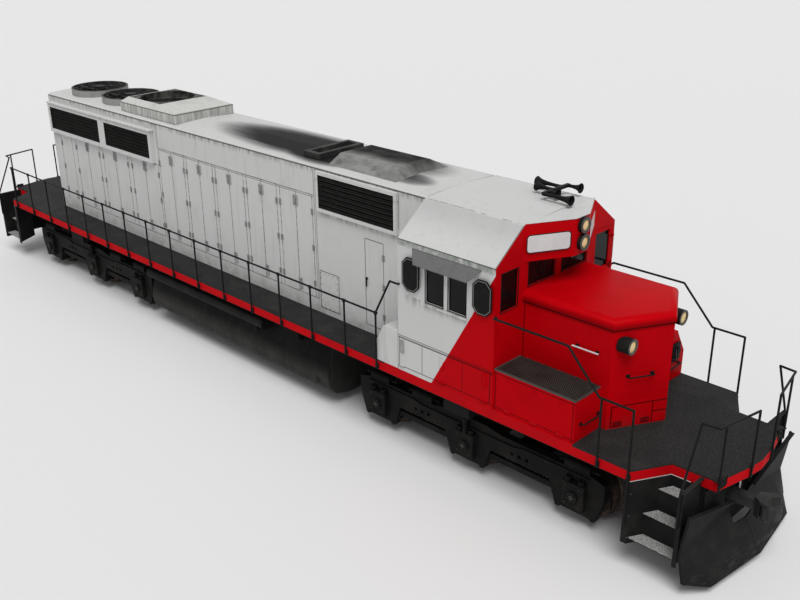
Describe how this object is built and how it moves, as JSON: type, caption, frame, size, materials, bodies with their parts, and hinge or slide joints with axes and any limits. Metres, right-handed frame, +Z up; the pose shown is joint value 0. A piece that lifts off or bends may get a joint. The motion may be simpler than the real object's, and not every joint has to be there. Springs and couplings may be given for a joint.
{
  "type": "diesel locomotive",
  "caption": "Hood-type road switcher locomotive on swivelling bogies, with a cab, low nose, turning axles and fans, hinged cab doors, box lids and couplers with opening knuckles",
  "frame": {"origin": "on the floor under the middle of the bounding box, level with the wheel flanges' lowest points", "axes": "+X forward, toward the low nose; +Y to the left; +Z up"},
  "size_m": [21.08, 3.324, 4.6779],
  "materials": {
    "white_paint": "satin white paint with grime",
    "red_paint": "satin red paint",
    "cab_paint": "white paint that changes to red at the front along a diagonal",
    "deck_paint": "dark anti-slip deck with a red edge",
    "black_paint": "worn black paint",
    "dark_metal": "dark sooty metal",
    "wheel_steel": "rolled wheel steel, bright on the tread",
    "cast_steel": "dirty black cast steel",
    "window_glass": "dark glass",
    "lens_glass": "pale yellow lens",
    "board_white": "blank white board",
    "seat_cloth": "dark cloth and grey stand",
    "engine_paint": "grey paint"
  },
  "bodies": {
    "carbody": {"underframe": "deck_paint", "fuel_tank": "black_paint", "air_reservoirs": "black_paint", "pilot_front": "black_paint", "pilot_rear": "black_paint", "plow": "black_paint", "hood_shell": "white_paint", "hood_doors": "white_paint", "engine": "engine_paint", "side_grilles": "dark_metal", "fan_shrouds": "dark_metal", "brake_housing": "white_paint", "exhaust_stack": "dark_metal", "roof_hatch": "white_paint", "cab_shell": "cab_paint", "cab_glass": "window_glass", "cab_fittings": "seat_cloth", "window_fittings": "dark_metal", "nose": "red_paint", "side_boxes": "red_paint", "lamp_housings": "dark_metal", "lamp_lenses": "lens_glass", "number_boards": "board_white", "horn": "black_paint", "handrail_right": "black_paint", "handrail_left": "black_paint", "handrail_front": "black_paint", "handrail_rear": "black_paint"},
    "fan_1": {"fan_rotor_1": "dark_metal"},
    "fan_2": {"fan_rotor_2": "dark_metal"},
    "fan_3": {"fan_rotor_3": "dark_metal"},
    "door_rear": {"cab_door_rear": "white_paint", "door_glass_rear": "window_glass"},
    "door_front": {"cab_door_front": "red_paint", "door_glass_front": "window_glass"},
    "lid_right": {"box_lid_right": "dark_metal"},
    "lid_left": {"box_lid_left": "red_paint"},
    "front_bogie": {"bogie_frame_front": "cast_steel", "running_gear_front": "cast_steel"},
    "rear_bogie": {"bogie_frame_rear": "cast_steel", "running_gear_rear": "cast_steel"},
    "front_coupler": {"coupler_front": "cast_steel"},
    "rear_coupler": {"coupler_rear": "cast_steel"},
    "front_knuckle": {"knuckle_front": "cast_steel"},
    "rear_knuckle": {"knuckle_rear": "cast_steel"},
    "axle_1": {"wheelset_1": "wheel_steel"},
    "axle_2": {"wheelset_2": "wheel_steel"},
    "axle_3": {"wheelset_3": "wheel_steel"},
    "axle_4": {"wheelset_4": "wheel_steel"},
    "axle_5": {"wheelset_5": "wheel_steel"},
    "axle_6": {"wheelset_6": "wheel_steel"}
  },
  "joints": [
    {"name": "front_bogie_swivel", "type": "hinge", "parent": "carbody", "child": "front_bogie", "pos_m": [5.9, 0, 0.536], "axis": [0, 0, 1], "range_deg": [-4, 4]},
    {"name": "rear_bogie_swivel", "type": "hinge", "parent": "carbody", "child": "rear_bogie", "pos_m": [-5.9, 0, 0.536], "axis": [0, 0, 1], "range_deg": [-4, 4]},
    {"name": "axle_1_spin", "type": "hinge", "parent": "front_bogie", "child": "axle_1", "pos_m": [7.96, 0, 0.536], "axis": [0, 1, 0], "continuous": true},
    {"name": "axle_2_spin", "type": "hinge", "parent": "front_bogie", "child": "axle_2", "pos_m": [5.85, 0, 0.536], "axis": [0, 1, 0], "continuous": true},
    {"name": "axle_3_spin", "type": "hinge", "parent": "front_bogie", "child": "axle_3", "pos_m": [3.855, 0, 0.536], "axis": [0, 1, 0], "continuous": true},
    {"name": "axle_4_spin", "type": "hinge", "parent": "rear_bogie", "child": "axle_4", "pos_m": [-3.855, 0, 0.536], "axis": [0, 1, 0], "continuous": true},
    {"name": "axle_5_spin", "type": "hinge", "parent": "rear_bogie", "child": "axle_5", "pos_m": [-5.85, 0, 0.536], "axis": [0, 1, 0], "continuous": true},
    {"name": "axle_6_spin", "type": "hinge", "parent": "rear_bogie", "child": "axle_6", "pos_m": [-7.96, 0, 0.536], "axis": [0, 1, 0], "continuous": true},
    {"name": "fan_1_spin", "type": "hinge", "parent": "carbody", "child": "fan_1", "pos_m": [-6.666, 0, 4.44], "axis": [0, 0, 1], "continuous": true},
    {"name": "fan_2_spin", "type": "hinge", "parent": "carbody", "child": "fan_2", "pos_m": [-5.296, 0, 4.44], "axis": [0, 0, 1], "continuous": true},
    {"name": "fan_3_spin", "type": "hinge", "parent": "carbody", "child": "fan_3", "pos_m": [-3.7835, 0, 4.44], "axis": [0, 0, 1], "continuous": true},
    {"name": "rear_door_hinge", "type": "hinge", "parent": "carbody", "child": "door_rear", "pos_m": [4.652, -1.436, 3.06], "axis": [0, 0, 1], "range_deg": [0, 95]},
    {"name": "front_door_hinge", "type": "hinge", "parent": "carbody", "child": "door_front", "pos_m": [6.641, 1.436, 3.15], "axis": [0, 0, 1], "range_deg": [0, 95]},
    {"name": "right_lid_hinge", "type": "hinge", "parent": "carbody", "child": "lid_right", "pos_m": [7.354, -0.857, 2.272], "axis": [-1, 0, 0], "range_deg": [0, 70]},
    {"name": "left_lid_hinge", "type": "hinge", "parent": "carbody", "child": "lid_left", "pos_m": [7.6235, 0.857, 2.427], "axis": [1, 0, 0], "range_deg": [0, 70]},
    {"name": "front_coupler_swing", "type": "hinge", "parent": "carbody", "child": "front_coupler", "pos_m": [9.56, 0, 0.879], "axis": [0, 0, 1], "range_deg": [-7, 7]},
    {"name": "rear_coupler_swing", "type": "hinge", "parent": "carbody", "child": "rear_coupler", "pos_m": [-9.56, 0, 0.879], "axis": [0, 0, 1], "range_deg": [-7, 7]},
    {"name": "front_knuckle_pin", "type": "hinge", "parent": "front_coupler", "child": "front_knuckle", "pos_m": [10.37, -0.118, 0.879], "axis": [0, 0, -1], "range_deg": [0, 50]},
    {"name": "rear_knuckle_pin", "type": "hinge", "parent": "rear_coupler", "child": "rear_knuckle", "pos_m": [-10.37, 0.118, 0.879], "axis": [0, 0, -1], "range_deg": [0, 50]}
  ]
}
